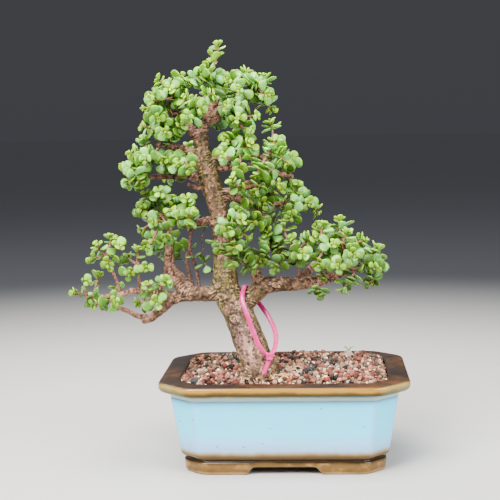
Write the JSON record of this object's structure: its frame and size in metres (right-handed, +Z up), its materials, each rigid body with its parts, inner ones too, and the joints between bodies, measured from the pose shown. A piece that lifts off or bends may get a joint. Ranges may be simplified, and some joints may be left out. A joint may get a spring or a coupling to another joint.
{
  "type": "potted dwarf jade bonsai",
  "caption": "Small bonsai of dwarf jade with a leaning trunk and clustered round leaves, growing in a rectangular glazed pot with cut corners and corner feet.",
  "frame": {"origin": "on the surface that the pot stands on, under the middle of the whole plant's bounding box, so the pot's own middle is 37.6 mm toward +X", "axes": "+Z up the plant, +X along the pot's long side to the right, -Y toward the front that shows the trunk"},
  "size_m": [0.2913, 0.166, 0.371],
  "materials": {
    "glaze": "gloss",
    "soil_grit": "rough granules",
    "screen_plastic": "matte",
    "clip_wire": "satin",
    "stone": "rough",
    "tag_plastic": "satin",
    "bark": "rough bark",
    "leaf": "waxy"
  },
  "bodies": {
    "root": {"pot": "glaze", "soil": "soil_grit", "drain_screen_left": "screen_plastic", "drain_screen_right": "screen_plastic", "screen_clip_left": "clip_wire", "screen_clip_right": "clip_wire", "pointed_stone": "stone", "tag_strap": "tag_plastic", "trunk": "bark", "branch_apex": "bark", "branch_top_left": "bark", "branch_upper_left": "bark", "branch_mid_left": "bark", "branch_lower_left": "bark", "branch_left_riser": "bark", "branch_lower_right": "bark", "branch_mid_right": "bark", "branch_upper_right": "bark", "branch_high_right": "bark", "branch_rear_low": "bark", "branch_rear_mid": "bark", "shoots_leader": "leaf", "shoots_top_left": "leaf", "shoots_top_left_end": "leaf", "shoots_top_front": "leaf", "shoots_top_right": "leaf", "shoots_top_right_end": "leaf", "shoots_top_right_low": "leaf", "shoots_top_rear": "leaf", "shoots_top_rear_end": "leaf", "shoots_stub_left": "leaf", "shoots_stub_left_low": "leaf", "shoots_upper_left": "leaf", "shoots_upper_left_inner": "leaf", "shoots_mid_left": "leaf", "shoots_mid_left_inner": "leaf", "shoots_left_riser": "leaf", "shoots_lower_left": "leaf", "shoots_far_left": "leaf", "shoots_far_left_end": "leaf", "shoots_far_left_low": "leaf", "shoots_lower_left_inner": "leaf", "shoots_rear_left": "leaf", "shoots_front": "leaf", "shoots_front_low": "leaf", "shoots_right_riser": "leaf", "shoots_lower_right": "leaf", "shoots_lower_right_mid": "leaf", "shoots_lower_right_outer": "leaf", "shoots_lower_right_end": "leaf", "shoots_mid_right": "leaf", "shoots_mid_right_inner": "leaf", "shoots_upper_right": "leaf", "shoots_upper_right_inner": "leaf", "shoots_high_right": "leaf", "shoots_small_right": "leaf", "shoots_rear_low": "leaf", "shoots_rear_low_inner": "leaf", "shoots_rear_mid": "leaf", "shoots_rear_right": "leaf"}
  },
  "joints": []
}
